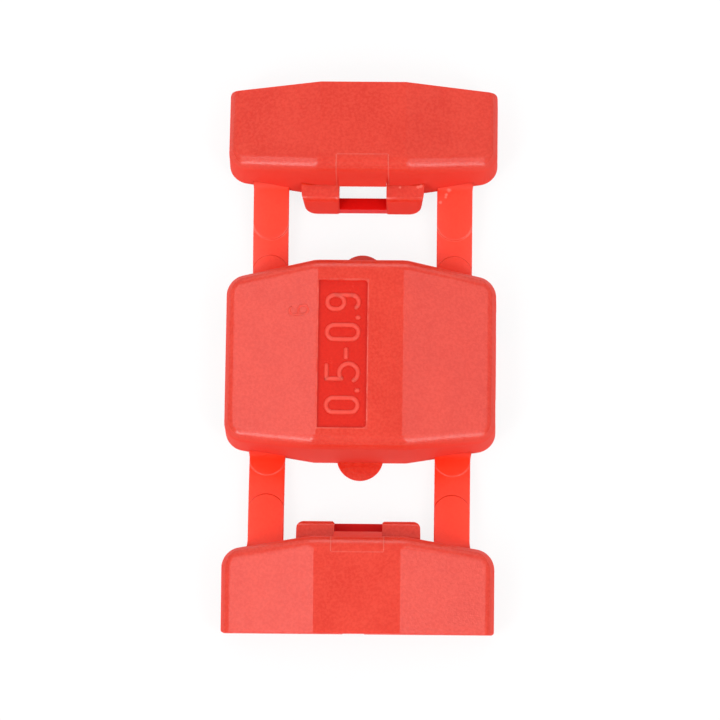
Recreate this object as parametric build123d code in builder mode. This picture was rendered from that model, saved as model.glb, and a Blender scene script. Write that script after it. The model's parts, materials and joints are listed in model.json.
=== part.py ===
"""Two-lid wire tap connector, lying open with its outer faces up.

A deep middle tray, the base, holds a slotted metal contact over two wire channels. A lid hangs on
two flat straps at each long side. Each lid folds down and under the base, presses its wire into the
contact, and is held by a loop that snaps over a half-round catch on the base.

Frame: millimetres, +Z up. The origin is the middle of the base on its parting plane, which is also
the plane that the open connector rests on. X runs along the wires and +Y points at the upper lid.
"""

import os
from math import atan2, cos, degrees, radians, sin, tan

from build123d import *

# --- Moulded body ---
body_length = 25.0
base_depth_mid = 18.0  # across the wires, in the middle third
base_depth_end = 15.3  # the same at the two ends
base_height_mid = 6.8
base_height_end = 4.4
lid_height_mid = 6.0
lid_height_end = 3.6
ridge_place = 3.95  # the flat top of each piece starts to fall here
plan_bend = 4.25  # and its long side bends back here
wall = 1.2
roof = 1.5
draft = 0.5  # degrees, on every outer wall
top_radius = 1.2
corner_radius = 1.9
far_corner_radius = 0.3

# --- Wires and their channels ---
wire_radius = 1.25
wire_pitch = 8.4  # between the two wires
rib_thickness = 1.0
rib_gap = 1.8  # clear space between two ribs
rib_count = 3  # on each side of the contact's well
well_half = 3.5  # half the length of the well that holds the contact

# --- Contact ---
sheet = 0.5  # thickness of the contact's metal
contact_clearance = 0.25  # between the contact and the ends of its well
blade_half_width = 6.3
blade_tip_height = 0.2  # the tips stay this far inside the rim
slot_width = 0.65
slot_depth = 2.9
slot_mouth = 1.5
slot_mouth_depth = 0.6
contact_bend_radius = 0.5

# --- Recessed panel for the size numbers ---
panel_width = 4.5
panel_length = 13.9
panel_inset = 0.1  # from the left ridge
panel_offset = -0.14  # from the middle of the base, along Y
panel_depth = 0.3
panel_corner = 0.35

# --- Catch and latch loop ---
catch_radius = 2.15
catch_centre_inset = 0.42  # its centre lies this far inside the wall
catch_thickness = 0.4
catch_lead = 0.2  # chamfer on the underside, which the loop rides up
catch_play = 0.05
loop_wall_play = 0.08  # between the crossbar and the base's wall, when closed
loop_reach = 1.5  # outer face of the loop at its foot, from the lid's near edge
loop_drop = 1.5  # the loop reaches this far past the lid's parting plane
loop_half_top = 5.7
loop_half_bottom = 5.35
loop_corner = 1.2
loop_edge = 0.6
loop_draft = 1.8  # degrees, on the loop's outer face
arm_top_outer = 1.8  # height of the arms at their outer face
arm_top_inner = 2.2  # and where they leave the lid's wall
crossbar_reach = 1.25  # outer face of the crossbar, which stands back between the arms
window_half = 2.2
window_height = 2.9  # the lid's wall is open up to here
brow_reach = 0.45  # the wall above the window leans out this far

# --- Lid ---
closed_gap = 0.08  # between the parting planes, when closed
lid_meeting_gap = 0.14  # between the far edges of the two closed lids
press_bar_width = 2.8
blade_relief_length = 1.3
blade_relief_depth = 0.8
notch_width = 2.0
notch_height = 2.5
notch_offset = 0.4

# --- Straps ---
strap_span = 7.25  # from the base to the lid's near edge, in the middle third
strap_width = 3.3
strap_inset = 2.3  # from the end of the body to the strap's outer edge
strap_thickness = 0.7
strap_seat = 0.45  # how far the strap's flat end reaches past the slope of the wall

# --- Worked out from the sizes above ---
half_length = body_length / 2
plan_slope = (base_depth_mid - base_depth_end) / 2 / (half_length - plan_bend)
wire_place = wire_pitch / 2
well_roof = base_height_mid - roof
crossbar_top = -(catch_thickness + closed_gap + catch_play)
lid_depth = (base_depth_mid - lid_meeting_gap) / 2
lid_tilt = atan2(loop_drop, lid_depth + loop_wall_play)  # rests on its far edge and its loop
lid_edge_y = base_depth_mid / 2 + strap_span
lid_edge_z = lid_depth * sin(lid_tilt)
strap_centre = half_length - strap_inset - strap_width / 2
past_end = wall  # the outer side profile runs this far past the ends

# The hinge of a lid is the one point that carries its near edge from where it lies open to the
# edge of the base, while the lid turns over.
closing_angle = radians(180) - lid_tilt
travel_y = base_depth_mid / 2 - lid_edge_y
travel_z = -closed_gap - lid_edge_z
hinge_y = (base_depth_mid / 2 + lid_edge_y) / 2 + travel_z / (2 * tan(closing_angle / 2))
hinge_z = (lid_edge_z - closed_gap) / 2 - travel_y / (2 * tan(closing_angle / 2))

# Each lid is modelled with its near edge on the X axis and its parting plane on XY.
upper_place = Plane(
    origin=(0, lid_edge_y, lid_edge_z),
    x_dir=(1, 0, 0),
    z_dir=(0, sin(lid_tilt), cos(lid_tilt)),
)
lower_place = Plane(
    origin=(0, -lid_edge_y, lid_edge_z),
    x_dir=(-1, 0, 0),
    z_dir=(0, -sin(lid_tilt), cos(lid_tilt)),
)


def profile_points(height_mid, height_end, inset, top):
    """Side profile of a moulded piece, drawn in XZ: flat in the middle, falling to both ends."""
    slope = (height_mid - height_end) / (half_length - ridge_place)
    end = half_length - inset
    high = height_mid - top
    low = high - slope * (end - ridge_place)
    return [(-end, 0), (-end, low), (-ridge_place, high), (ridge_place, high), (end, low), (end, 0)]


def near_points(near_mid, inset):
    """Near edge of a moulded piece in plan: straight in the middle, drawn back to both ends."""
    end = half_length - inset
    back = near_mid + plan_slope * (end - plan_bend)
    return [(-end, back), (-plan_bend, near_mid), (plan_bend, near_mid), (end, back)]


def rib_places():
    """Distances of the ribs from the middle, starting with the wall of the contact's well."""
    pitch = rib_thickness + rib_gap
    return [well_half + rib_thickness / 2 + pitch * i for i in range(rib_count)]


def end_corners(part):
    """The upright edges at both ends of a piece, before its top is shaped."""
    uprights = part.edges().filter_by(lambda edge: abs((edge @ 1).Z - (edge @ 0).Z) > wall)
    return uprights.filter_by(lambda edge: abs(edge.center().X) > half_length - wall)


def top_rim(part):
    """The edges round the top of a piece, without the two ridges across it."""
    tops = part.faces().filter_by(lambda face: face.normal_at().Z > 0.9)
    return tops.edges().filter_by(lambda edge: not is_ridge(edge))


def is_ridge(edge):
    """True for an edge that runs across the piece where the flat top starts to fall."""
    return abs(abs(edge.center().X) - ridge_place) < 0.01


def in_window(edge):
    """True for an edge of the loop that borders the window between its arms."""
    middle = edge.center()
    return abs(middle.X) < window_half + 0.01 and middle.Z > -loop_drop + 0.01


# === Base ===

# The space inside the base, between its ribs
with BuildPart() as base_core:
    with BuildSketch(Plane.XY):
        near = near_points(-base_depth_mid / 2 + wall, wall)
        with BuildLine():
            Polyline(*near, *[(x, -y) for x, y in reversed(near)], close=True)
        make_face()
    extrude(amount=base_height_mid)
    with BuildSketch(Plane.XZ):
        with BuildLine():
            Polyline(*profile_points(base_height_mid, base_height_end, wall, roof), close=True)
        make_face()
    extrude(amount=base_depth_mid, both=True, mode=Mode.INTERSECT)
    with BuildSketch(Plane.XY):
        with Locations(*[(side * x, 0) for x in rib_places() for side in (-1, 1)]):
            Rectangle(rib_thickness, base_depth_mid)
    extrude(amount=base_height_mid, mode=Mode.SUBTRACT)

with BuildPart() as base:
    # Outer form: a plan that narrows to its ends, under a roof that falls to its ends
    with BuildSketch(Plane.XY):
        near = near_points(-base_depth_mid / 2, 0)
        with BuildLine():
            Polyline(*near, *[(x, -y) for x, y in reversed(near)], close=True)
        make_face()
    extrude(amount=base_height_mid, taper=draft)
    fillet(end_corners(base.part), radius=corner_radius)
    with BuildSketch(Plane.XZ):
        with BuildLine():
            Polyline(*profile_points(base_height_mid, base_height_end, -past_end, 0), close=True)
        make_face()
    extrude(amount=base_depth_mid, both=True, mode=Mode.INTERSECT)
    fillet(top_rim(base.part), radius=top_radius)

    # Half-round catch in the middle of each long side
    for side in (-1, 1):
        centre_y = side * (base_depth_mid / 2 - catch_centre_inset)
        with BuildSketch(Plane.XY):
            with Locations((0, centre_y)):
                Circle(catch_radius)
        extrude(amount=catch_thickness)
        rim = base.edges().filter_by(GeomType.CIRCLE).filter_by(
            lambda edge: abs(edge.radius - catch_radius) < 0.01 and edge.center().Z < 0.01
            and side * edge.center().Y > 0
        )
        chamfer(rim, length=catch_lead)

    # Recessed panel, from the left ridge towards the middle
    with BuildSketch(Plane.XY.offset(base_height_mid)) as panel:
        with Locations((-ridge_place + panel_inset + panel_width / 2, panel_offset)):
            Rectangle(panel_width, panel_length)
        fillet(panel.vertices().group_by(Axis.X)[-1], radius=panel_corner)
    extrude(amount=-panel_depth, mode=Mode.SUBTRACT)

    # Inside, and the two wire channels through every rib and both end walls
    add(base_core.part, mode=Mode.SUBTRACT)
    with BuildSketch(Plane.YZ.offset(-half_length)):
        with Locations((-wire_place, 0), (wire_place, 0)):
            with Locations((0, wire_radius)):
                Circle(wire_radius)
            Rectangle(2 * wire_radius, wire_radius, align=(Align.CENTER, Align.MIN))
    extrude(amount=body_length, mode=Mode.SUBTRACT)

base.part.label = "base"

# === Contact: one bent sheet, with two blades and a slot for each wire in each blade ===
with BuildPart() as contact:
    contact_half = well_half - contact_clearance
    with BuildSketch(Plane.XZ):
        with BuildLine() as bent:
            outside = FilletPolyline(
                (-contact_half, blade_tip_height),
                (-contact_half, well_roof),
                (contact_half, well_roof),
                (contact_half, blade_tip_height),
                radius=contact_bend_radius + sheet,
            )
            inside = FilletPolyline(
                (-contact_half + sheet, blade_tip_height),
                (-contact_half + sheet, well_roof - sheet),
                (contact_half - sheet, well_roof - sheet),
                (contact_half - sheet, blade_tip_height),
                radius=contact_bend_radius,
            )
            Line(outside @ 0, inside @ 0)
            Line(outside @ 1, inside @ 1)
        make_face()
    extrude(amount=blade_half_width, both=True)
    with BuildSketch(Plane.YZ.offset(-well_half)):
        with Locations((-wire_place, blade_tip_height), (wire_place, blade_tip_height)):
            Rectangle(slot_width, slot_depth - slot_width / 2, align=(Align.CENTER, Align.MIN))
            with Locations((0, slot_depth - slot_width / 2)):
                Circle(slot_width / 2)
            with BuildLine():
                Polyline(
                    (-slot_mouth / 2, 0),
                    (slot_mouth / 2, 0),
                    (slot_width / 2, slot_mouth_depth),
                    (-slot_width / 2, slot_mouth_depth),
                    close=True,
                )
            make_face()
    extrude(amount=2 * well_half, mode=Mode.SUBTRACT)

contact.part.label = "contact"

# === Lid ===

# The space inside a lid, on both sides of the bar that presses the wire
with BuildPart() as lid_core:
    with BuildSketch(Plane.XY):
        near = near_points(wall, wall)
        far = lid_depth - wall
        with BuildLine():
            Polyline(*near, (near[-1][0], far), (near[0][0], far), close=True)
        make_face()
    extrude(amount=lid_height_mid)
    with BuildSketch(Plane.XZ):
        with BuildLine():
            Polyline(*profile_points(lid_height_mid, lid_height_end, wall, roof), close=True)
        make_face()
    extrude(amount=-lid_depth, mode=Mode.INTERSECT)
    with BuildSketch(Plane.XY):
        with Locations((0, base_depth_mid / 2 - wire_place)):
            Rectangle(body_length, press_bar_width)
        with Locations(*[(side * x, lid_depth / 2) for x in rib_places() for side in (-1, 1)]):
            Rectangle(rib_thickness, lid_depth)
    extrude(amount=lid_height_mid, mode=Mode.SUBTRACT)

with BuildPart() as lid:
    # Outer form: made deeper than the lid and cut off, so that its far edges stay sharp
    with BuildSketch(Plane.XY):
        near = near_points(0, 0)
        with BuildLine():
            Polyline(*near, (half_length, 2 * lid_depth), (-half_length, 2 * lid_depth), close=True)
        make_face()
    extrude(amount=lid_height_mid, taper=draft)
    near_corners = end_corners(lid.part).filter_by(lambda edge: edge.center().Y < lid_depth)
    fillet(near_corners, radius=corner_radius)
    with BuildSketch(Plane.XZ):
        with BuildLine():
            Polyline(*profile_points(lid_height_mid, lid_height_end, -past_end, 0), close=True)
        make_face()
    extrude(amount=-2 * lid_depth, mode=Mode.INTERSECT)
    fillet(top_rim(lid.part).filter_by(lambda edge: edge.center().Y < 1.5 * lid_depth), radius=top_radius)
    with BuildSketch(Plane.XY) as depth_plan:
        with Locations((0, lid_depth)):
            Rectangle(body_length, 2 * lid_depth, align=(Align.CENTER, Align.MAX))
        fillet(depth_plan.vertices().group_by(Axis.Y)[-1], radius=far_corner_radius)
    extrude(amount=lid_height_mid, taper=draft, mode=Mode.INTERSECT)

    # The wall above the window leans out between the arms of the loop
    with BuildSketch(Plane.YZ.offset(-window_half)):
        with BuildLine():
            Polyline(
                (-brow_reach, window_height),
                (0.3, window_height),
                (0.3, lid_height_mid - top_radius),
                close=True,
            )
        make_face()
    extrude(amount=2 * window_half)

    # Inside, the window, the reliefs for the contact's blades and the notch in the far wall
    add(lid_core.part, mode=Mode.SUBTRACT)
    with BuildSketch(Plane.XY):
        with Locations((0, wall / 2)):
            Rectangle(2 * window_half, wall + 2 * loop_reach)
    extrude(amount=window_height, mode=Mode.SUBTRACT)
    with BuildSketch(Plane.XY):
        blade_place = well_half - contact_clearance - sheet / 2
        with Locations((-blade_place, lid_depth / 2), (blade_place, lid_depth / 2)):
            Rectangle(blade_relief_length, lid_depth - 2 * wall)
    extrude(amount=blade_relief_depth, mode=Mode.SUBTRACT)
    with BuildSketch(Plane.XY):
        with Locations((notch_offset, lid_depth - wall / 2)):
            Rectangle(notch_width, 2 * wall)
    extrude(amount=notch_height, mode=Mode.SUBTRACT)

# === Latch loop: two arms that stand out from the lid's near wall, joined by a crossbar ===
with BuildPart() as loop:
    with BuildSketch(Plane.XZ) as front:
        with BuildLine():
            Polyline(
                (-loop_half_top, arm_top_inner),
                (-loop_half_bottom, -loop_drop),
                (loop_half_bottom, -loop_drop),
                (loop_half_top, arm_top_inner),
                close=True,
            )
        make_face()
        fillet(front.vertices().group_by(Axis.Y)[0], radius=loop_corner)
        with Locations((0, crossbar_top)):
            Rectangle(2 * window_half, lid_height_mid, align=(Align.CENTER, Align.MIN), mode=Mode.SUBTRACT)
    extrude(amount=2 * loop_reach)
    extrude(front.sketch, amount=-wall / 2)
    # Side section: the outer face leans in towards the top, and the top falls away from the lid
    lean = tan(radians(loop_draft)) * (arm_top_outer + loop_drop)
    with BuildSketch(Plane.YZ):
        with BuildLine():
            Polyline(
                (-loop_reach, -loop_drop),
                (-loop_reach + lean, arm_top_outer),
                (0, arm_top_inner),
                (wall / 2, arm_top_inner),
                (wall / 2, 0),
                (-loop_wall_play, 0),
                (-loop_wall_play, -loop_drop),
                close=True,
            )
        make_face()
    extrude(amount=loop_half_top, both=True, mode=Mode.INTERSECT)
    # The outline of the outer face is rounded, and the edges of the window stay sharp
    outer_face = loop.faces().sort_by(Axis.Y)[0]
    outline = outer_face.edges().filter_by(lambda edge: not in_window(edge))
    fillet(outline, radius=loop_edge)
    # The arms flare outwards along the window, down to the foot of the crossbar
    with BuildSketch(Plane.XY.offset(-loop_drop)):
        with BuildLine():
            flare = window_half + loop_reach - crossbar_reach
            Polyline(
                (-window_half, -crossbar_reach),
                (-flare, -loop_reach),
                (-flare, -2 * loop_reach),
                (flare, -2 * loop_reach),
                (flare, -loop_reach),
                (window_half, -crossbar_reach),
                close=True,
            )
        make_face()
    extrude(amount=lid_height_mid, mode=Mode.SUBTRACT)
    add(lid.part, mode=Mode.SUBTRACT)

# === Straps: flat and gently arched, from the rim of the base to the rim of each lid ===
with BuildPart() as strap:
    base_start = base_depth_mid / 2 - plan_slope * (strap_centre + strap_width / 2 - plan_bend)
    lid_start = plan_slope * (strap_centre + strap_width / 2 - plan_bend)
    lid_point = upper_place.from_local_coords((0, lid_start, 0))
    lid_inside = upper_place.from_local_coords((0, lid_start + strap_seat, 0))
    lower_side = [
        (base_start - strap_seat, 0),
        (base_start, 0),
        (hinge_y, hinge_z),
        (lid_point.Y, lid_point.Z),
        (lid_inside.Y, lid_inside.Z),
    ]
    upper_side = [(y, z + strap_thickness) for y, z in lower_side]
    with BuildSketch(Plane.YZ.offset(strap_centre)):
        with BuildLine():
            for start, bend, middle, end, finish in (lower_side, upper_side):
                Line(start, bend)
                ThreePointArc(bend, middle, end)
                Line(end, finish)
            Line(lower_side[0], upper_side[0])
            Line(lower_side[-1], upper_side[-1])
        make_face()
    extrude(amount=strap_width / 2, both=True)
    for body in (base.part, base_core.part):
        add(body, mode=Mode.SUBTRACT)
    for body in (lid.part, lid_core.part):
        add(body.moved(Location(upper_place)), mode=Mode.SUBTRACT)

# === Placing the repeated pieces ===
half_turn = Location((0, 0, 0), (0, 0, 180))
placed = {"base": base.part, "contact": contact.part}
for name, place in (("upper", upper_place), ("lower", lower_place)):
    placed[f"{name}_lid"] = lid.part.moved(Location(place))
    placed[f"{name}_latch_loop"] = loop.part.moved(Location(place))
right_strap = strap.part
left_strap = mirror(strap.part, about=Plane.YZ)
placed["upper_right_strap"] = right_strap
placed["upper_left_strap"] = left_strap
placed["lower_left_strap"] = right_strap.moved(half_turn)
placed["lower_right_strap"] = left_strap.moved(half_turn)

os.makedirs("parts", exist_ok=True)
for name, piece in placed.items():
    piece.label = name
    export_step(piece, f"parts/{name}.step")

print(f"lid tilt {degrees(lid_tilt):.3f} deg, closing angle {degrees(closing_angle):.3f} deg")
print(f"hinge at y {hinge_y:.4f}, z {hinge_z:.4f}; lid edge at y {lid_edge_y:.4f}, z {lid_edge_z:.4f}")
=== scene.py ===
# %% [markdown]
# # A two-lid wire tap connector, lying open
#
# The connector is one red nylon moulding: a deep middle tray, the base, with a lid at each long side
# on two flat straps. Inside the base sits a slotted sheet-metal contact. The solids come from the
# CAD frame, in metres, and this file gives them their finish: soft moulded edges, grained nylon,
# straps bent along their arch, and the raised size numbers in their panel.

import json
from math import atan2, cos, hypot, pi, radians, sin

import bpy
from mathutils import Euler, Matrix, Vector

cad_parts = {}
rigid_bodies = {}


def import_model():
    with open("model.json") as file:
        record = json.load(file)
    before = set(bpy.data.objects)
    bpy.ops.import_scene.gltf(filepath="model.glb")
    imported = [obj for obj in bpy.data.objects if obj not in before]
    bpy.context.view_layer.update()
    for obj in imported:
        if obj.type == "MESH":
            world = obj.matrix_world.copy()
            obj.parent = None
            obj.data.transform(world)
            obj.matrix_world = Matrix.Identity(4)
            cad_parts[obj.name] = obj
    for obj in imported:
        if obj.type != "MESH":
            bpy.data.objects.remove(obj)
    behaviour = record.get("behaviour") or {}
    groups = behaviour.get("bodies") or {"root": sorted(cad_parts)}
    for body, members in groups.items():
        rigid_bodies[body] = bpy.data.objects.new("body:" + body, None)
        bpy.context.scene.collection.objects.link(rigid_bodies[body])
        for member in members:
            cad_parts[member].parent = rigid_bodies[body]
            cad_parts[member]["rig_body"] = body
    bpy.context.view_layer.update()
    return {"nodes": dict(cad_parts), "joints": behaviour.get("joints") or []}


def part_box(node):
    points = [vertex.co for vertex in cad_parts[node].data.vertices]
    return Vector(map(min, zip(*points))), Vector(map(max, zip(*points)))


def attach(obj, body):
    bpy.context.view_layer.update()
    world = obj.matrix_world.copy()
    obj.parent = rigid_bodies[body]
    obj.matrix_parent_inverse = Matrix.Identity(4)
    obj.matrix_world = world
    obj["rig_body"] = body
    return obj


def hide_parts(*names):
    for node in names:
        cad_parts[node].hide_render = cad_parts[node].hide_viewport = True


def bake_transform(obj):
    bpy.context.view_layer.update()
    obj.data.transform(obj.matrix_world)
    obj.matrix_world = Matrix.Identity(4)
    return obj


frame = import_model()
mm = 0.001

# %% [markdown]
# ## The view
#
# The connector is seen from a long way off through a long lens, almost straight from above and
# leaning 13 degrees towards its lower lid. A long lens keeps parallel edges nearly parallel, which
# suits a product view of a small flat part. The camera is placed by its turn, the point it looks at
# and its distance, because those are what one adjusts in a studio.

# %% Camera
camera_lean, camera_side_lean, camera_roll = radians(13.0), radians(1.2), radians(0.75)
look_right, look_up = -0.12 * mm, 0.787 * mm  # from the middle of the connector, across the view
camera_distance = 490.1 * mm

camera_turn = Euler((camera_lean, camera_side_lean, camera_roll), "XYZ").to_matrix()
camera_right, camera_up, camera_back = (camera_turn.col[i] for i in range(3))
look_at = camera_right * look_right + camera_up * look_up

bpy.ops.object.camera_add()
camera = bpy.context.object
camera.name = "camera"
camera.matrix_world = Matrix.Translation(look_at + camera_back * camera_distance) @ camera_turn.to_4x4()
camera.data.lens = 263.8  # mm
camera.data.sensor_width = 36  # mm
camera.data.clip_start = 0.01
camera.data.clip_end = 20
bpy.context.scene.camera = camera
bpy.context.scene.view_settings.view_transform = "Standard"
print("camera at", [round(c, 4) for c in camera.location], "m")

# %% [markdown]
# ## A small language for finishes
#
# Every finish here is a network of shader nodes. Wiring each node by hand hides the idea behind
# the plumbing, so two small classes do the plumbing. `Link` stands for the value that comes out of a
# node, and sums on it add Math nodes. `Finish` holds one material and adds any other node with
# one method. After that, a line of shader code reads like the rule it stands for.

# %% Links that can be added and multiplied
class Link:
    """What comes out of a node. Arithmetic on it adds Math nodes."""

    def __init__(self, finish, socket):
        self.finish, self.socket = finish, socket

    def math(self, operation, *values):
        return self.finish.node("ShaderNodeMath", {"operation": operation}, dict(enumerate(values)))

    def __add__(self, other):
        return self.math("ADD", self, other)

    def __sub__(self, other):
        return self.math("SUBTRACT", self, other)

    def __rsub__(self, other):
        return self.math("SUBTRACT", other, self)

    def __mul__(self, other):
        return self.math("MULTIPLY", self, other)

    def __pow__(self, other):
        return self.math("POWER", self, other)

    def __abs__(self):
        return self.math("ABSOLUTE", self)

    __radd__ = __add__
    __rmul__ = __mul__

    def larger(self, other):
        return self.math("MAXIMUM", self, other)

    def smaller(self, other):
        return self.math("MINIMUM", self, other)

    def step(self, low, high):
        """0 below low, 1 above high, and a smooth rise between them."""
        return self.finish.node(
            "ShaderNodeMapRange",
            {"interpolation_type": "SMOOTHSTEP"},
            {"Value": self, "From Min": low, "From Max": high},
        )


print("links are ready")

# %% A finish and its nodes
class Finish:
    """One material, or the world. node() adds a node, sets it and returns what comes out of it."""

    def __init__(self, name, library=None):
        library = bpy.data.materials if library is None else library
        self.material = library.new(name)
        self.material.use_nodes = True
        self.tree = self.material.node_tree
        self.tree.nodes.clear()

    def node(self, kind, settings=None, inputs=None, output=0):
        made = self.tree.nodes.new(kind)
        for key, value in (settings or {}).items():
            setattr(made, key, value)
        for key, value in (inputs or {}).items():
            if isinstance(value, Link):
                self.tree.links.new(value.socket, made.inputs[key])
            else:
                made.inputs[key].default_value = value
        return Link(self, made.outputs[output]) if made.outputs else None

    def mix(self, factor, low, high):
        """A colour between low and high."""
        low, high = (c if isinstance(c, Link) else (*c, 1.0) for c in (low, high))
        return self.node("ShaderNodeMix", {"data_type": "RGBA"}, {0: factor, 6: low, 7: high}, output=2)

    def mix_shaders(self, factor, low, high):
        """A shader between low and high."""
        return self.node("ShaderNodeMixShader", {}, {0: factor, 1: low, 2: high})

    def noise(self, place, feature, detail=2.0, roughness=0.5):
        """Soft random patches about one feature wide, in metres."""
        return self.node(
            "ShaderNodeTexNoise",
            {"noise_dimensions": "3D"},
            {"Vector": place, "Scale": 1 / feature, "Detail": detail, "Roughness": roughness},
        )

    def x_and_y(self, place):
        """The first two coordinates of a place."""
        return [self.node("ShaderNodeSeparateXYZ", {}, {0: place}, output=axis) for axis in ("X", "Y")]

    def stored(self, name, output):
        """What a mesh holds for each of its points under this name."""
        return self.node("ShaderNodeAttribute", {"attribute_name": name}, output=output)

    def bump(self, height):
        """A normal for a surface with this height, in metres."""
        return self.node("ShaderNodeBump", {}, {"Strength": 1.0, "Distance": 1.0, "Height": height})

    def seen(self):
        """1 for rays from the camera and for mirrored or refracted ones, 0 for light that spreads."""
        seen = 0.0
        for kind in ("Is Camera Ray", "Is Glossy Ray", "Is Transmission Ray"):
            seen = seen + self.node("ShaderNodeLightPath", output=kind)
        return seen.smaller(1.0)

    def surface(self, shader, output="ShaderNodeOutputMaterial"):
        self.node(output, {}, {"Surface": shader})
        return self.material


print("finishes are ready to be written")

# %% [markdown]
# ## The stage
#
# The part lies on a plain white table, and the light is that of a small product booth: an even
# pale surround and five soft panels. The long panels at the two sides stand about 30 degrees off
# the vertical, so the roof faces that fall to the left and right pick up a pale sheen while the
# flat middle stays deeper in colour. Two strips beyond the lower lid put a highlight on the
# rounded edges that face that way, and a low panel at the back lights the walls beyond. The strips
# are long in the direction they lean, because that makes the highlight wide on a small rounding.
#
# The table is a sheet of clear acrylic with a faint white coat. The white surround shows through
# it, and the coat still takes the shadow of the part. The lids close under the base, below the
# table's plane, and through a clear table they stay in view. From beneath it is wholly clear.

# %% Table top
table_reach = 3.0
table_clearness = 0.86  # share of the table's look that is the white surround behind it
coat_white = (0.92, 0.92, 0.92, 1.0)

bpy.ops.mesh.primitive_plane_add(size=2 * table_reach, location=(0, 0, 0))
table_top = bpy.context.object
table_top.name = "table_top"

table = Finish("table_white")
table_coat = table.node("ShaderNodeBsdfDiffuse", {}, {"Color": coat_white})
table_clear = table.node("ShaderNodeBsdfTransparent")
from_beneath = table.node("ShaderNodeNewGeometry", output="Backfacing")
clearness = (table.seen() * table_clearness).larger(from_beneath)
table_top.data.materials.append(table.surface(table.mix_shaders(clearness, table_coat, table_clear)))
print("table spans", 2 * table_reach, "m")

# %% Surround and five soft panels
surround_white = (1.0, 1.0, 1.0, 1.0)
surround_level = 0.50  # how brightly the surround lights the part, where 1 is the white that is seen
soft_panel_distance = 0.50
soft_panels = (  # name, lean from the vertical, direction it stands in, size, power in W
    ("soft_panel_left", radians(31), radians(190), (0.18, 0.50), 0.63),
    ("soft_panel_right", radians(31), radians(-10), (0.18, 0.50), 0.45),
    ("strip_front_left", radians(50), radians(-136), (0.36, 0.09), 0.84),
    ("strip_front_right", radians(50), radians(-44), (0.36, 0.09), 0.70),
    ("soft_panel_back", radians(60), radians(90), (0.16, 0.50), 0.60),
)

surround = Finish("surround", bpy.data.worlds)
surround_strength = surround.seen() * (1.0 - surround_level) + surround_level
surround_glow = surround.node(
    "ShaderNodeBackground", {}, {"Color": surround_white, "Strength": surround_strength}
)
bpy.context.scene.world = surround.surface(surround_glow, "ShaderNodeOutputWorld")

for name, lean, direction, size, power in soft_panels:
    bpy.ops.object.light_add(type="AREA")
    lamp = bpy.context.object
    lamp.name = name
    lamp.data.shape = "RECTANGLE"
    lamp.data.size, lamp.data.size_y = size
    lamp.data.energy = power
    stand = Matrix.Rotation(direction, 4, "Z") @ Matrix.Rotation(lean, 4, "Y")
    lamp.matrix_world = stand @ Matrix.Translation((0, 0, soft_panel_distance))
print(len(soft_panels), "soft panels and a surround at", surround_level)

# %% [markdown]
# ## Red nylon
#
# The moulding is unfilled nylon with a semi-gloss skin. Its colour is slightly uneven, as the melt
# mixed, and the mould was spark-eroded, so the outer faces carry a fine grain that breaks up the
# gloss. Three layers of noise at different sizes give this: broad clouds and small flecks shift
# the colour a little, and the finest one raises the surface. The grain is read from the piece's own
# coordinates, or, on a strap that bends, from a stored copy of them, so it stays put.
#
# The side walls are given a rougher finish and a brighter, even red of their own. That red is
# painted light: it follows which way a face looks, and stands in for how the lamps light the walls.
# Each mesh stores how far each of its points belongs to a wall, as `wall_share`, and the finish
# passes from one look to the other by that share.

# %% The reds, from the deeper to the paler one
grained_reds = (0.62, 0.021, 0.005), (0.705, 0.042, 0.018)
# painted: the panel floor's deeper red stands in for the pale sheen that the grained roof reflects
panel_painted_reds = (0.60, 0.011, 0.003), (0.67, 0.017, 0.006)
# painted sheen: a paler red for the light that the raised beads catch
number_sheen_reds = (0.74, 0.044, 0.024), (0.80, 0.058, 0.034)
# painted shade: the crossbars' deeper, more saturated red for the shade between the loops' arms
crossbar_shade_reds = (0.71, 0.005, 0.004), (0.75, 0.007, 0.005)
# painted light: a brighter, more orange red for the light that shines through the thin straps
strap_lit_reds = (0.90, 0.036, 0.009), (0.94, 0.046, 0.014)
# painted light: the walls' own brighter, even red, given by which way a face looks
painted_wall_red = (0.74, 0.030, 0.012)
# also the colour of painted highlights: along the panel's rim, on the pins' arcs and on the upper loop's arm
pale_mark = (0.90, 0.28, 0.22)  # rims, fine raised lines and rubbed spots
print("the pale marks are", pale_mark)

# %% Nylon finish
cloud_size, fleck_size, grain_size = 4.0 * mm, 0.27 * mm, 0.22 * mm
cloud_share, fleck_share = 0.4, 0.6  # of the shift in colour
cloud_range, fleck_range = (0.3, 0.7), (0.36, 0.64)  # of the noise, from the deeper to the paler red
cloud_dulling, fleck_dulling, mark_dulling = 0.08, 0.03, 0.08  # what each adds to the roughness
wall_roughness = 0.85


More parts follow.
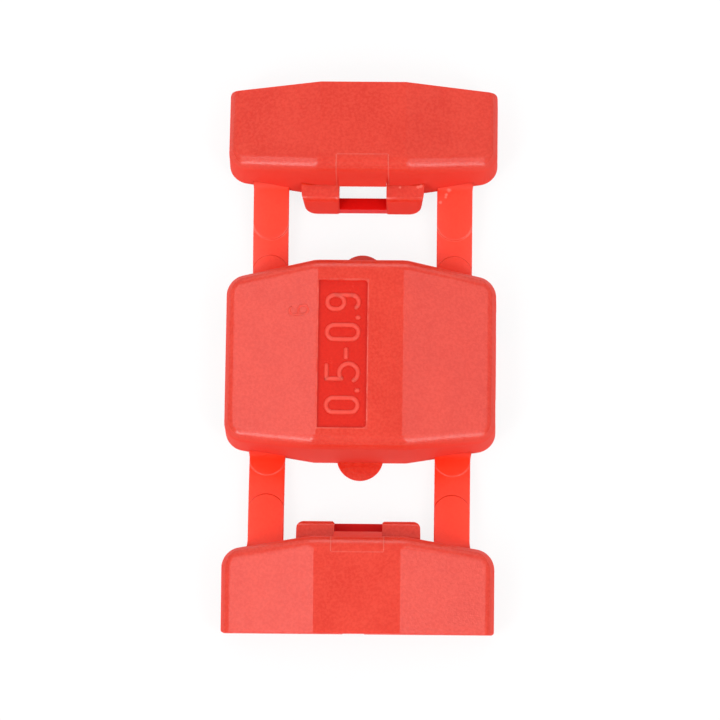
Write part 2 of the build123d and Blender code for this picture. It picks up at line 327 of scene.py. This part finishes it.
def nylon(name, reds, gloss, grain_height, stored_place=None, marks=None, specular=0.42, dull_painted_walls=False):
    """Moulded nylon between two reds. gloss is its roughness, and marks adds paleness and height."""
    skin = Finish(name)
    if stored_place:
        place = skin.stored(stored_place, "Vector")
    else:
        place = skin.node("ShaderNodeTexCoord", output="Object")
    clouds = skin.noise(place, cloud_size, detail=3.0, roughness=0.55)
    flecks = skin.noise(place, fleck_size, detail=2.0, roughness=0.6)
    grain = skin.noise(place, grain_size, detail=2.5, roughness=0.65)
    tone = flecks.step(*fleck_range) * fleck_share + clouds.step(*cloud_range) * cloud_share
    colour = skin.mix(tone, *reds)
    height = grain * grain_height
    roughness = (flecks - 0.5) * fleck_dulling + (clouds - 0.5) * cloud_dulling + gloss
    # painted light: where a face turns into a wall it takes the painted wall red
    if dull_painted_walls:
        wall = skin.stored("wall_share", "Fac")
        colour = skin.mix(wall, colour, painted_wall_red)
        roughness = roughness + wall * (wall_roughness - gloss)
    if marks:
        paler, raised = marks(skin, place)
        colour = skin.mix(paler, colour, pale_mark)
        height = height + raised
        roughness = roughness + paler * mark_dulling
    shader = skin.node(
        "ShaderNodeBsdfPrincipled",
        {},
        {
            "Base Color": colour,
            "Roughness": roughness,
            "IOR": 1.53,
            "Specular IOR Level": specular,
            "Subsurface Weight": 0.25,
            "Subsurface Radius": (1.0, 0.10, 0.06),
            "Subsurface Scale": 1.0 * mm,
            "Normal": skin.bump(height),
        },
    )
    return skin.surface(shader)


def grained_nylon(name, marks):
    """The spark-eroded nylon of the outer faces, with the marks of one kind of piece on it."""
    return nylon(name, grained_reds, gloss=0.25, grain_height=0.022 * mm, marks=marks, dull_painted_walls=True)


panel_nylon = nylon("smooth_red_nylon", panel_painted_reds, gloss=0.26, grain_height=0.010 * mm, specular=0.24)
number_nylon = nylon("bead_red_nylon", number_sheen_reds, gloss=0.46, grain_height=0.012 * mm)
crossbar_shade_nylon = nylon("polished_crossbar_shade_nylon", crossbar_shade_reds, gloss=0.34, grain_height=0.006 * mm, specular=0.12)
print("made", panel_nylon.name, number_nylon.name, crossbar_shade_nylon.name)

# %% [markdown]
# ### Rims, rubbed spots and painted highlights
#
# The recessed panel has a fine rim, slightly raised, with a painted highlight along it that is
# broken up in places. The strap beside the upper lid's loop carries a few pale spots where the part
# was rubbed in packing, and the loop's right arm has pale spots that are painted highlights. Such
# marks are rules on a place: a rim is a distance from a rectangle, and a spot is a ragged distance
# from its middle.

# %% Nylon of the base, with the panel's rim
panel_middle = (-1.60 * mm, -0.14 * mm)
panel_half = (2.25 * mm, 6.95 * mm)
rim_width = 0.16 * mm
rim_core = 0.3  # share of that width over which the rim is whole
rim_height = 0.02 * mm
# painted highlight along the rim's rounded edge
rim_paleness = 0.20
# this noise breaks up the rim's painted highlight in places
rim_break_size, rim_break_range = 1.2 * mm, (0.30, 0.60)  # of the noise that wears the rim in places


def panel_rim(skin, place):
    """How pale the painted highlight on the rim round the panel is, and the rim's height."""
    x, y = skin.x_and_y(place)
    outside = (abs(x - panel_middle[0]) - panel_half[0]).larger(abs(y - panel_middle[1]) - panel_half[1])
    rim = 1.0 - abs(outside).step(rim_core * rim_width, rim_width)
    rim_breaks = skin.noise(place, rim_break_size, detail=3.0).step(*rim_break_range)
    return rim * rim_breaks * rim_paleness, rim * rim_height


base_nylon = grained_nylon("grained_base_nylon", panel_rim)
print("made", base_nylon.name)

# %% Nylon of the latch loops, with painted highlight spots
# painted highlights: pale spots on the right arm of the upper loop, where its rounded corner catches the
# light
loop_highlight_spots = (  # place along X and Y, and size
    (5.40 * mm, 16.60 * mm, 0.32 * mm),
    (5.14 * mm, 16.50 * mm, 0.28 * mm),
    (3.45 * mm, 16.46 * mm, 0.22 * mm),
)
loop_highlight_paleness = 0.5
ragged_size = 0.15 * mm
ragged_depth, spot_core = 0.5, 0.4  # shares of a spot's size


def rubbed_and_highlight_spots(skin, place, spots):
    """1 in the middle of each spot, 0 beyond its ragged edge."""
    x, y = skin.x_and_y(place)
    rubbed = 0.0
    for spot_x, spot_y, size in spots:
        across, along = x - spot_x, y - spot_y
        ragged = skin.noise(place, ragged_size) * (ragged_depth * size)
        away = (across * across + along * along) ** 0.5 + ragged
        rubbed = rubbed + (1.0 - away.step(spot_core * size, size))
    return rubbed


def loop_highlight_marks(skin, place):
    """How pale the painted highlight spots on the loops are. They have no height."""
    return (rubbed_and_highlight_spots(skin, place, loop_highlight_spots) * loop_highlight_paleness).smaller(1.0), 0.0


loop_nylon = grained_nylon("grained_red_nylon", loop_highlight_marks)
print("made", loop_nylon.name)

# %% [markdown]
# ### The lids' insert lines
#
# The window of a latch loop is cut by a loose insert of the mould. Where the insert meets the rest
# of the mould it leaves a fine raised line: one up each side of the window, over the rounded edge,
# and one across the roof that joins them. The lids therefore have a nylon of their own, with these
# lines given by their place on the lid.

# %% Nylon of the lids, with the insert's lines
insert_half = 2.41 * mm  # half the width of the insert
insert_end = 18.7 * mm  # its line across the roof, from the middle of the connector
insert_line = 0.07 * mm
insert_height = 0.03 * mm
insert_paleness = 0.22
end_line_share = 0.5  # the line across the roof is this faint and low beside the other two


def insert_lines(skin, place):
    """How pale the raised lines round the window's insert are, and their height."""
    x, y = (abs(coordinate) for coordinate in skin.x_and_y(place))
    on_side = 1.0 - abs(x - insert_half).step(insert_line / 2, insert_line)
    on_end = 1.0 - abs(y - insert_end).step(insert_line / 2, insert_line)
    before_end = (insert_end - y).step(0, insert_line)
    between_sides = (insert_half - x).step(0, insert_line)
    lines = (on_side * before_end).larger(on_end * between_sides * end_line_share)
    return lines * insert_paleness, lines * insert_height


lid_nylon = grained_nylon("grained_lid_nylon", insert_lines)
print("made", lid_nylon.name)

# %% [markdown]
# ## From solids to moulded shells
#
# The frame gives each solid as loose triangles with knife-sharp edges. A moulding has no such
# edges: the mould's own corners are a little round. Each shell is therefore a copy of its
# solid whose triangles are joined and cleaned into flat faces, and whose sharp edges get a bevel a
# tenth of a millimetre wide. Normals weighted by face size then keep the large faces flat in
# the light. Starting from the solid, and not from a cube, keeps every rib, window and channel.
#
# The ridges, where the flat top starts to fall to an end, are too blunt for that bevel. They get a
# much finer one of their own, so that the two roof faces don't shade into each other.

# %% Helpers for selecting
def select_only(piece):
    for shown in bpy.context.selected_objects:
        shown.select_set(False)
    piece.select_set(True)
    bpy.context.view_layer.objects.active = piece


def edit(piece, kind="VERT"):
    """Readies one piece so that pick() can select parts of this kind in it."""
    select_only(piece)
    bpy.ops.object.mode_set(mode="EDIT")
    bpy.ops.mesh.select_mode(type=kind)
    bpy.ops.mesh.select_all(action="DESELECT")
    bpy.ops.object.mode_set(mode="OBJECT")


def pick(elements, test=lambda element: True):
    """Selects the vertices, edges or faces that pass the test, and goes to edit mode."""
    count = 0
    for element in elements:
        element.select = bool(test(element))
        count += element.select
    bpy.ops.object.mode_set(mode="EDIT")
    return count


def done():
    """Goes back to object mode after an edit."""
    bpy.ops.object.mode_set(mode="OBJECT")


def apply_modifier(piece, kind, **settings):
    """Adds a modifier with these settings and applies it."""
    select_only(piece)
    modifier = piece.modifiers.new(kind.lower(), kind)
    for key, value in settings.items():
        setattr(modifier, key, value)
    bpy.ops.object.modifier_apply(modifier=modifier.name)


def store_wall_share(mesh, share_of):
    """Keeps for each vertex how far it belongs to a wall, from 0 to 1."""
    shares = mesh.attributes.new("wall_share", "FLOAT", "POINT")
    for vertex, share in zip(mesh.vertices, shares.data):
        share.value = min(1.0, max(0.0, share_of(vertex)))


print("helpers are ready")


# %% Shells of the base, the lids and the latch loops
shell_round = 0.10 * mm
weld_distance = 0.001 * mm
flat_angle = radians(0.5)  # triangles that turn by less than this become one face
bevel_angle = radians(32)  # edges that turn by more than this are rounded
smooth_angle = radians(35)
ridge_place = 3.95 * mm
ridge_slack = 0.02 * mm
ridge_shortest = 1.0 * mm
ridge_round = 0.03 * mm
wall_starts, wall_full = 0.75, 0.25  # upward part of the normal where a face starts and ends to be a wall


def is_ridge(edge, vertices):
    """True for an edge along Y where the flat top of a piece starts to fall."""
    start, end = (vertices[i].co for i in edge.vertices)
    beside = all(abs(abs(point.x) - ridge_place) < ridge_slack for point in (start, end))
    return beside and abs(start.y - end.y) > ridge_shortest


def rounded_shell(node, edge_round):
    """A joined copy of a solid, with its sharp edges slightly rounded."""
    mesh = frame["nodes"][node].data.copy()
    mesh.materials.clear()
    shell = bpy.data.objects.new(f"{node}_shell", mesh)
    bpy.context.scene.collection.objects.link(shell)
    edit(shell)
    pick(mesh.vertices)
    bpy.ops.mesh.remove_doubles(threshold=weld_distance)
    bpy.ops.mesh.dissolve_limited(angle_limit=flat_angle)
    done()
    apply_modifier(
        shell, "BEVEL", limit_method="ANGLE", angle_limit=bevel_angle, width=edge_round, segments=2,
        use_clamp_overlap=True, miter_outer="MITER_ARC", harden_normals=False,
    )
    bpy.ops.object.shade_smooth_by_angle(angle=smooth_angle)
    edit(shell, "EDGE")
    ridges = pick(mesh.edges, lambda edge: is_ridge(edge, mesh.vertices))
    if ridges:
        bpy.ops.mesh.bevel(offset=ridge_round, segments=1, affect="EDGES")
    done()
    apply_modifier(shell, "WEIGHTED_NORMAL", mode="FACE_AREA", weight=60, keep_sharp=True)
    store_wall_share(mesh, lambda vertex: (wall_starts - vertex.normal.z) / (wall_starts - wall_full))
    print(node, "has", ridges, "ridge edges")
    return shell


shells = {}
nylon_of = {
    "base": base_nylon,
    "upper_lid": lid_nylon,
    "lower_lid": lid_nylon,
    "upper_latch_loop": loop_nylon,
    "lower_latch_loop": loop_nylon,
}
for node, shell_nylon in nylon_of.items():
    shells[node] = rounded_shell(node, shell_round)
    shells[node].data.materials.append(shell_nylon)
    body = frame["nodes"][node]["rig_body"]
    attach(shells[node], body)
    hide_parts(node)
    print(node, "shell has", len(shells[node].data.polygons), "faces and rides on", body)

# %% [markdown]
# ### Polished faces
#
# Two places were polished in the mould and not spark-eroded, so they are smoother, and both are
# given a deeper red that is painted. The crossbar of a loop was formed by the polished insert. It
# stands back between the two arms, where light reaches it mostly from one red face to the next, and
# its deeper, more saturated red is painted shade. The floor of the recessed panel is the one face of
# the base that looks up from just below the flat top; its deeper red is painted in place of the pale
# sheen that the grained roof reflects. Both are found by their place, and get a second finish.

# %% The polished faces of the crossbars and the panel's floor
window_half = 2.2 * mm
panel_depth = 0.30 * mm
panel_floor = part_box("base")[1].z - panel_depth
panel_floor_slack = 0.05 * mm
facing = 0.9  # a face looks along an axis if this much of its normal does


def polish(node, polished_nylon, test):
    """Gives the faces of a shell that pass the test a second nylon."""
    mesh = shells[node].data
    mesh.materials.append(polished_nylon)
    faces = [face for face in mesh.polygons if test(face)]
    for face in faces:
        face.material_index = 1
    print(node, "has", len(faces), "polished faces")


def is_panel_floor(face):
    """True for a face that looks up at the height of the panel's floor."""
    return face.normal.z > facing and abs(face.center.z - panel_floor) < panel_floor_slack


# the crossbar between the arms gets the red with painted shade
for node in ("upper_latch_loop", "lower_latch_loop"):
    polish(node, crossbar_shade_nylon, lambda face: abs(face.center.x) < window_half)
polish("base", panel_nylon, is_panel_floor)
print("the panel's floor lies at z", round(panel_floor / mm, 2), "mm")

# %% [markdown]
# ## The contact
#
# A strip of tin-plated brass, stamped and bent to a U. It keeps its square stamped form, so only a
# thin bevel is added. Tin is a soft, slightly milky metal: the finish is metallic, with
# faint streaks in the rolling direction and blurred patches where the plating is thicker.

# %% Contact and its tin plating
contact_round = 0.05 * mm
tin_greys = (0.62, 0.61, 0.58), (0.76, 0.75, 0.73)
tin_roughness, patch_roughness, streak_roughness = 0.22, 0.18, 0.08
patch_size, patch_range = 1.6 * mm, (0.3, 0.7)
streak_size, streak_height = 0.12 * mm, 0.006 * mm
along_rolling = (1.0, 0.08, 1.0)  # the streaks run long in Y

tin = Finish("tin_plating")
tin_place = tin.node("ShaderNodeTexCoord", output="Object")
rolled_place = tin.node("ShaderNodeMapping", {}, {"Vector": tin_place, "Scale": along_rolling})
tin_streaks = tin.noise(rolled_place, streak_size, detail=3.0)
tin_patches = tin.noise(tin_place, patch_size, detail=2.0)
tin_shader = tin.node(
    "ShaderNodeBsdfPrincipled",
    {},
    {
        "Base Color": tin.mix(tin_patches.step(*patch_range), *tin_greys),
        "Metallic": 1.0,
        "Roughness": tin_patches * patch_roughness + tin_streaks * streak_roughness + tin_roughness,
        "Normal": tin.bump(tin_streaks * streak_height),
    },
)

shells["contact"] = rounded_shell("contact", contact_round)
shells["contact"].data.materials.append(tin.surface(tin_shader))
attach(shells["contact"], "base")
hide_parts("contact")
print("contact shell has", len(shells["contact"].data.polygons), "faces")

# %% [markdown]
# ## Straps
#
# Each lid hangs on two straps, 3.3 mm wide and 0.7 mm thick. They are the same nylon, but thin
# and smoother, and light from the table shines through them; that light is painted into their
# brighter and more orange red. A strap is modelled as its rounded cross-section, spun along
# the shallow arch on which the solid lies, in many short steps, because it must bend cleanly when
# the lid closes. Its ends flare a little where they run into the walls, and there they take the
# walls' darker red, a painted shade. Flat round marks of two ejector pins, slightly proud, end in
# an arc across the strap; their other halves lie under the walls. Every arc is faintly pale, and an
# arc that faces the front strips gets a painted highlight.

# %% Strap finish with ejector marks
pin_radius = 1.7 * mm
near_pin = 8.75 * mm  # from the middle of the base, on all four straps
upper_far_pin = 13.6 * mm
lower_far_pin = 14.0 * mm
pin_height = 0.09 * mm
pin_edge = 0.06 * mm  # half the width of the step at a pin's edge
rim_near, rim_far = 0.03 * mm, 0.16 * mm  # where the paleness of an arc starts and ends to fade
rim_rise = (0.1 * mm, 0.6 * mm)  # along the strap, where the paleness comes up from the pin's middle
rim_tip, tip_dimming = (1.0 * mm, pin_radius), 0.6  # towards its tip an arc gets less pale again
# a faint paleness on every arc, and a painted highlight on the arcs that face the front strips
rim_paleness_least, near_rim_highlight, far_rim_highlight = 0.05, 0.10, 0.30
strap_spots = (  # place along X and Y, and size, on a strap of the upper lid
    (8.00 * mm, 16.65 * mm, 0.36 * mm),
    (7.76 * mm, 16.22 * mm, 0.28 * mm),
    (7.70 * mm, 15.98 * mm, 0.22 * mm),
    (7.22 * mm, 15.49 * mm, 0.28 * mm),
)
strap_spot_paleness = 0.55
strap_low, strap_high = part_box("upper_right_strap")
strap_centre = (strap_low.x + strap_high.x) / 2


def strap_marks(skin, place):
    """How pale the pins' arcs, with their painted highlight, and the rubbed spots are, and the height of the
    pins' flats.
    """
    x, y = skin.x_and_y(place)
    upper = y.step(-1.0 * mm, 1.0 * mm)  # 1 on the upper lid's straps and 0 on the lower lid's
    far_pin = upper * (upper_far_pin - lower_far_pin) + lower_far_pin
    raised, rims = 0.0, 0.0
    # the arc of each pin that faces the front strips gets the painted highlight
    for pin, outward, pale in (
        (near_pin, 1.0, (1.0 - upper) * near_rim_highlight),
        (far_pin, -1.0, upper * far_rim_highlight),
    ):
        across, along = abs(x) - strap_centre, ((abs(y) - pin) * outward).larger(0.0)
        away = (across * across + along * along) ** 0.5
        raised = raised + (1.0 - away.step(pin_radius - pin_edge, pin_radius + pin_edge))
        rim = (1.0 - abs(away - pin_radius).step(rim_near, rim_far)) * along.step(*rim_rise)
        rim = rim * (1.0 - along.step(*rim_tip) * tip_dimming)
        rims = rims + rim * (pale + rim_paleness_least)
    spots = rubbed_and_highlight_spots(skin, place, strap_spots) * strap_spot_paleness
    return (rims + spots).smaller(1.0), raised * pin_height


strap_nylon = nylon(
    "thin_red_nylon", strap_lit_reds, gloss=0.36, grain_height=0.006 * mm, stored_place="rest_place",
    marks=strap_marks, dull_painted_walls=True,
)
print("strap centre at x", round(strap_centre / mm, 2), "mm")

# %% One strap, spun along its arch
hinge = {joint["child"]: Vector(joint["pos_m"]) for joint in frame["joints"]}
strap_width = strap_high.x - strap_low.x
strap_thickness = 0.70 * mm
strap_seat = 0.40 * mm  # how far its ends reach into the walls
strap_lift = strap_high.z - strap_thickness  # height of its underside where it meets the lid
strap_edge = 0.14 * mm
strap_steps = 44


def circle_through(a, b, c):
    """Centre of the circle through three points, given as (y, z)."""
    d = 2 * (a[0] * (b[1] - c[1]) + b[0] * (c[1] - a[1]) + c[0] * (a[1] - b[1]))
    sa, sb, sc = (p[0] ** 2 + p[1] ** 2 for p in (a, b, c))
    y = (sa * (b[1] - c[1]) + sb * (c[1] - a[1]) + sc * (a[1] - b[1])) / d
    z = (sa * (c[0] - b[0]) + sb * (a[0] - c[0]) + sc * (b[0] - a[0])) / d
    return y, z


seat_at_base = (strap_low.y, 0.0)
seat_at_lid = (strap_high.y, strap_lift)
fold = (hinge["upper_lid"].y, hinge["upper_lid"].z)
arch_y, arch_z = circle_through(seat_at_base, fold, seat_at_lid)
arch_radius = hypot(fold[0] - arch_y, fold[1] - arch_z)
start_angle, end_angle = (atan2(y - arch_y, z - arch_z) for y, z in (seat_at_base, seat_at_lid))
print("arch radius", round(arch_radius / mm, 1), "mm, from", round(start_angle, 3), "to", round(end_angle, 3))

middle_radius = arch_radius + strap_thickness / 2
section_place = (
    strap_centre, arch_y + middle_radius * sin(start_angle), arch_z + middle_radius * cos(start_angle)
)
bpy.ops.mesh.primitive_plane_add(size=1, location=section_place, rotation=(pi / 2 - start_angle, 0, 0))
strap = bpy.context.object
strap.name = "upper_right_strap_nylon"
strap.scale = (strap_width, strap_thickness, 1)
bpy.ops.object.transform_apply(location=True, rotation=True, scale=True)
edit(strap)
pick(strap.data.vertices)
bpy.ops.mesh.bevel(offset=strap_edge, segments=3, affect="VERTICES")
bpy.ops.mesh.select_all(action="SELECT")
bpy.ops.mesh.spin(
    steps=strap_steps, angle=end_angle - start_angle, center=(strap_centre, arch_y, arch_z), axis=(1, 0, 0)
)
done()
print("strap runs to y", [round(f(v.co.y for v in strap.data.vertices) / mm, 2) for f in (min, max)])

# %% The strap's ends go straight on into the two walls, and flare there
strap_ends = ((-1, strap_low.y, 0.0), (1, strap_high.y, strap_lift))  # direction, place, underside
strap_flare = (  # how far from the end it starts, widening, lift of the upper face
    (0.60 * mm, 1.012, 0.04 * mm),
    (0.40 * mm, 1.015, 0.05 * mm),
    (0.20 * mm, 1.02, 0.06 * mm),
)
strap_upper_part = 0.6  # share of the thickness above which a point belongs to the upper face
# painted shade: near each wall the strap takes the darker wall red, fading out over this reach
strap_shade_reach = 0.5 * mm  # the wall's look fades out this far along the strap
strap_smooth_angle = radians(40)


def near_end(point, direction, end_y, reach):
    """True within the reach of one end, and beyond that end."""
    return (point.y - end_y) * direction > -reach


for direction, end_y, underside in strap_ends:
    edit(strap, "FACE")
    pick(
        strap.data.polygons,
        lambda face: face.normal.y * direction > facing and abs(face.center.y - end_y) < strap_seat,
    )
    bpy.ops.mesh.extrude_region_move(TRANSFORM_OT_translate={"value": (0, direction * strap_seat, 0)})
    done()
for reach, widening, lift in strap_flare:
    for direction, end_y, underside in strap_ends:
        upper_face = underside + strap_upper_part * strap_thickness
        edit(strap)
        pick(strap.data.vertices, lambda vertex: near_end(vertex.co, direction, end_y, reach))
        bpy.ops.transform.resize(
            value=(widening, 1, 1), center_override=(strap_centre, end_y, 0), orient_type="GLOBAL"
        )
        done()
        edit(strap)
        pick(
            strap.data.vertices,
            lambda vertex: near_end(vertex.co, direction, end_y, reach) and vertex.co.z > upper_face,
        )
        bpy.ops.transform.translate(value=(0, 0, lift))
        done()
edit(strap)
pick(strap.data.vertices)
bpy.ops.mesh.normals_make_consistent(inside=False)
done()
select_only(strap)
bpy.ops.object.shade_smooth_by_angle(angle=strap_smooth_angle)
# painted shade where a strap meets a wall: its ends take the wall's darker red
store_wall_share(
    strap.data,
    lambda vertex: 1.0 - min(vertex.co.y - strap_low.y, strap_high.y - vertex.co.y) / strap_shade_reach,
)
strap_reach = [round(f(v.co.y for v in strap.data.vertices) / mm, 2) for f in (min, max)]
print("strap with its seats runs to y", strap_reach)

# %% Four straps, each bent between the base and its lid
half_turn = Matrix.Rotation(pi, 4, "Z")
to_left = Matrix.Translation((-2 * strap_centre, 0, 0))
strap_moves = {
    "upper_right_strap": Matrix.Identity(4),
    "upper_left_strap": to_left,
    "lower_left_strap": half_turn,
    "lower_right_strap": half_turn @ to_left,
}
straps = {"upper_right_strap": strap}
for node in strap_moves:
    if node not in straps:
        straps[node] = bpy.data.objects.new(f"{node}_nylon", strap.data.copy())
        bpy.context.scene.collection.objects.link(straps[node])
for node, move in strap_moves.items():
    piece = straps[node]
    piece.data.transform(move)
    piece.data.materials.append(strap_nylon)
    rest_places = piece.data.attributes.new("rest_place", "FLOAT_VECTOR", "POINT")
    for vertex, rest_place in zip(piece.data.vertices, rest_places.data):
        rest_place.vector = vertex.co
    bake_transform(piece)
    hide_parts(node)

# %% [markdown]
# ## Raised size numbers
#
# The panel in the roof of the base holds a plain size range in raised, round-topped strokes,
# because the mould was cut with a ball-nosed tool. Each digit is therefore made as a bead and not
# as flat type. A zero is a ring pulled apart into a long loop, a nine is a ring with a hooked stem,
# and a five is a bar, a stem and an open bowl that is spun. The line reads along +Y, with the
# digits' tops towards -X. A small cavity number stands on the left slope of the roof.

# %% Helpers for beads
bead = 0.23 * mm  # radius of the rounded cutter
bead_rise = -0.06 * mm  # the middle of a bead lies this far above the panel's floor
baseline = -0.15 * mm  # x of the middle of the strokes along the feet of the digits
digit_height = 2.90 * mm  # between the middles of the top and bottom strokes
round_half = 0.675 * mm  # half the width of a zero, to the middle of its stroke
ball_segments, ball_rings = 14, 10
ring_segments, bead_segments = 40, 12
bowl_steps, cap_rings, cap_share = 28, 8, 0.99
middle_slack = 0.01 * mm


def on_line(along, up, floor=panel_floor):
    """A point of the line of numbers: along the line and up the digit."""
    return Vector((baseline - up, along, floor + bead_rise))


def stroke(start, end, half=bead):
    """A straight bead with round ends: a ball pulled out along its length."""
    length = end - start
    bpy.ops.mesh.primitive_uv_sphere_add(
        segments=ball_segments, ring_count=ball_rings, radius=half, location=start
    )
    piece = bpy.context.object
    bpy.ops.object.transform_apply(location=True, rotation=True, scale=True)
    edit(piece)
    pick(piece.data.vertices, lambda vertex: (vertex.co - start).dot(length) > 0)
    bpy.ops.transform.translate(value=length)
    done()
    return piece


def ring(centre, half_across, half_up=None, half=bead):
    """A round bead, drawn out along the digit's height if half_up is larger."""
    bpy.ops.mesh.primitive_torus_add(
        location=centre, major_radius=half_across, minor_radius=half,
        major_segments=ring_segments, minor_segments=bead_segments,
    )
    piece = bpy.context.object
    bpy.ops.object.transform_apply(location=True, rotation=True, scale=True)
    pull = (half_up or half_across) - half_across
    if pull:
        for direction in (-1, 1):
            edit(piece)
            pick(piece.data.vertices, lambda vertex: (vertex.co.x - centre.x) * direction > middle_slack)
            bpy.ops.transform.translate(value=(direction * pull, 0, 0))
            done()
    return piece


def bowl(centre, radius, start_turn, turn, half=bead):
    """An open round bead: a small ring of points spun about the centre, with its ends drawn in."""
    begin = centre + Matrix.Rotation(start_turn, 3, "Z") @ Vector((radius, 0, 0))
    bpy.ops.mesh.primitive_circle_add(
        vertices=bead_segments, radius=half, fill_type="NGON", location=begin,
        rotation=(pi / 2, 0, start_turn),
    )
    piece = bpy.context.object
    bpy.ops.object.transform_apply(location=True, rotation=True, scale=True)
    edit(piece)
    pick(piece.data.vertices)
    bpy.ops.mesh.spin(steps=bowl_steps, angle=-turn, center=centre, axis=(0, 0, 1))
    bpy.ops.mesh.select_all(action="SELECT")
    bpy.ops.mesh.normals_make_consistent(inside=False)
    done()
    for end_turn in (start_turn, start_turn + turn):
        end = centre + Matrix.Rotation(end_turn, 3, "Z") @ Vector((radius, 0, 0))
        bpy.ops.mesh.primitive_uv_sphere_add(
            segments=bead_segments, ring_count=cap_rings, radius=half * cap_share, location=end
        )
        cap = bpy.context.object
        bpy.ops.object.transform_apply(location=True, rotation=True, scale=True)
        join([piece, cap])
    return piece


def join(pieces):
    """Makes one piece of several and returns the first."""
    select_only(pieces[0])
    for piece in pieces:
        piece.select_set(True)
    bpy.ops.object.join()
    return pieces[0]


def dress(numbers, name):
    """Smooths joined beads and gives them their name and their nylon."""
    numbers.name = name
    bpy.ops.object.shade_smooth()
    numbers.data.materials.clear()
    numbers.data.materials.append(number_nylon)


print("a stroke is", round(2 * bead / mm, 2), "mm wide")

# %% The digits of the wire range
half_height = digit_height / 2
dash_height = 1.12 * mm
dash_half = 0.36 * mm
dot_length = 0.10 * mm


def zero(middle):
    """A ring pulled apart into a long loop."""
    return [ring(on_line(middle, half_height), round_half, half_height)]


def nine(middle, scale=1.0, half=bead):
    """A ring at the top, a stem down its right side and a hook at the foot."""
    round_nine, ring_up = 0.66 * mm * scale, 0.78 * mm * scale
    ring_middle = digit_height * scale - ring_up
    stem = middle + round_nine
    return [
        ring(on_line(middle, ring_middle), round_nine, ring_up, half),
        stroke(on_line(stem, round_nine), on_line(stem, ring_middle), half),
        bowl(on_line(middle, round_nine), round_nine, radians(-50), radians(140), half),
    ]


def five(middle):
    """An open bowl, a stem up its left side and a bar at the top."""
    bowl_radius, bowl_shift = 0.86 * mm, -0.06 * mm
    bowl_centre = on_line(middle + bowl_shift, bowl_radius)
    half_bar, shoulder = 0.62 * mm, 1.52 * mm
    left, right = middle - half_bar, middle + half_bar
    return [
        bowl(bowl_centre, bowl_radius, radians(-55), radians(272)),
        stroke(on_line(left, shoulder), on_line(left, digit_height)),
        stroke(on_line(left, digit_height), on_line(right, digit_height)),
    ]


def dot(middle):
    return [stroke(on_line(middle, 0), on_line(middle, dot_length))]


def dash(middle):
    return [stroke(on_line(middle - dash_half, dash_height), on_line(middle + dash_half, dash_height))]


line_of_numbers = (  # each digit and the place of its middle along the line, in mm
    (zero, -4.94), (dot, -3.57), (five, -1.85), (dash, -0.09), (zero, 1.92), (dot, 3.30), (nine, 4.75)
)
beads = []
for digit, middle in line_of_numbers:
    beads += digit(middle * mm)
size_numbers = join(beads)
dress(size_numbers, "size_numbers")
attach(size_numbers, "base")
print("the numbers are", len(size_numbers.data.polygons), "faces")

# %% A small plain number on the roof's left slope
small_scale = 0.62
small_bead = 0.14 * mm
small_place = Vector((-5.65 * mm, 4.02 * mm, 6.26 * mm))
slope_fall = radians(15.7)

small_number = join(nine(0.0, scale=small_scale, half=small_bead))
small_middle = on_line(0.0, digit_height * small_scale / 2)
small_number.data.transform(
    Matrix.Translation(small_place)
    @ Matrix.Rotation(-slope_fall, 4, "Y")
    @ Matrix.Rotation(pi, 4, "Z")
    @ Matrix.Translation(-small_middle)
)
dress(small_number, "cavity_number")
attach(small_number, "base")
print("the cavity number stands at", [round(c / mm, 2) for c in small_place], "mm")
